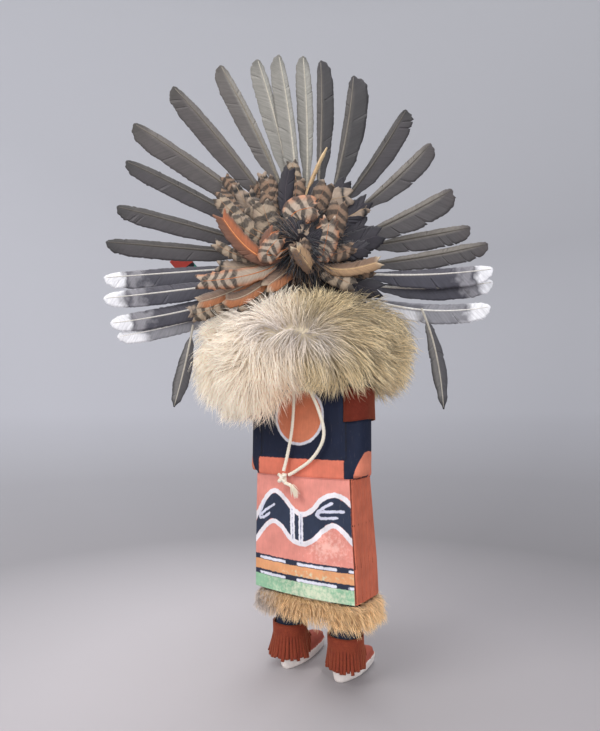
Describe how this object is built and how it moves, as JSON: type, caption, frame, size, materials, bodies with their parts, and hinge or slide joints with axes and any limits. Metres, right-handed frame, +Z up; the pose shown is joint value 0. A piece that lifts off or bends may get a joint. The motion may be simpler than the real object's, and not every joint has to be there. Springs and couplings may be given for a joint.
{
  "type": "kachina doll",
  "caption": "Standing carved and painted kachina doll with a feather fan headdress, fur ruff, painted kilt, fringed suede cuffs and a wand held in one hand.",
  "frame": {"origin": "on the ground plane under the soles, at the middle of the box round all the solids but the tie string", "axes": "+Z up along the doll's height, -Y the way the shoes and the body face, +X to the doll's left-hand side"},
  "size_m": [0.2212, 0.1578, 0.4126],
  "materials": {
    "painted_wood": "matte milk-like paint over carved cottonwood",
    "wand_paint": "matte paint over a flat wooden slat",
    "fan_feather": "natural grey-brown wing and tail feathers, some white-tipped",
    "hanging_feather": "natural grey feather with dark edges",
    "down": "dark down and bound quill ends",
    "crest_feather": "natural barred cream, black and rufous body feathers",
    "ruff_fur": "natural fur, cream to tan",
    "hem_fur": "natural fur, tan-orange",
    "suede": "rust-brown suede, napped",
    "cotton_string": "undyed twisted cotton string"
  },
  "bodies": {
    "root": {"figure": "painted_wood", "wand": "wand_paint", "fan_feather_01": "fan_feather", "fan_feather_02": "fan_feather", "fan_feather_03": "fan_feather", "fan_feather_04": "fan_feather", "fan_feather_05": "fan_feather", "fan_feather_06": "fan_feather", "fan_feather_07": "fan_feather", "fan_feather_08": "fan_feather", "fan_feather_09": "fan_feather", "fan_feather_10": "fan_feather", "fan_feather_11": "fan_feather", "fan_feather_12": "fan_feather", "fan_feather_13": "fan_feather", "fan_feather_14": "fan_feather", "fan_feather_15": "fan_feather", "fan_feather_16": "fan_feather", "fan_feather_17": "fan_feather", "fan_feather_18": "fan_feather", "fan_feather_19": "fan_feather", "fan_feather_20": "fan_feather", "fan_feather_21": "fan_feather", "fan_feather_22": "fan_feather", "fan_feather_23": "fan_feather", "hanging_feather_left": "hanging_feather", "hanging_feather_right": "hanging_feather", "crest_down": "down", "crest_feather_01": "crest_feather", "crest_feather_02": "crest_feather", "crest_feather_03": "crest_feather", "crest_feather_04": "crest_feather", "crest_feather_05": "crest_feather", "crest_feather_06": "crest_feather", "crest_feather_07": "crest_feather", "crest_feather_08": "crest_feather", "crest_feather_09": "crest_feather", "crest_feather_10": "crest_feather", "crest_feather_11": "crest_feather", "crest_feather_12": "crest_feather", "crest_feather_13": "crest_feather", "crest_feather_14": "crest_feather", "crest_feather_15": "crest_feather", "crest_feather_16": "crest_feather", "crest_feather_17": "crest_feather", "crest_feather_18": "crest_feather", "crest_feather_19": "crest_feather", "crest_feather_20": "crest_feather", "crest_feather_21": "crest_feather", "crest_feather_22": "crest_feather", "fur_ruff": "ruff_fur", "hem_fur": "hem_fur", "armband_left": "suede", "armband_right": "suede", "cuff_left": "suede", "cuff_right": "suede", "tie_string_left": "cotton_string", "tie_string_right": "cotton_string", "string_knot": "cotton_string"}
  },
  "joints": []
}
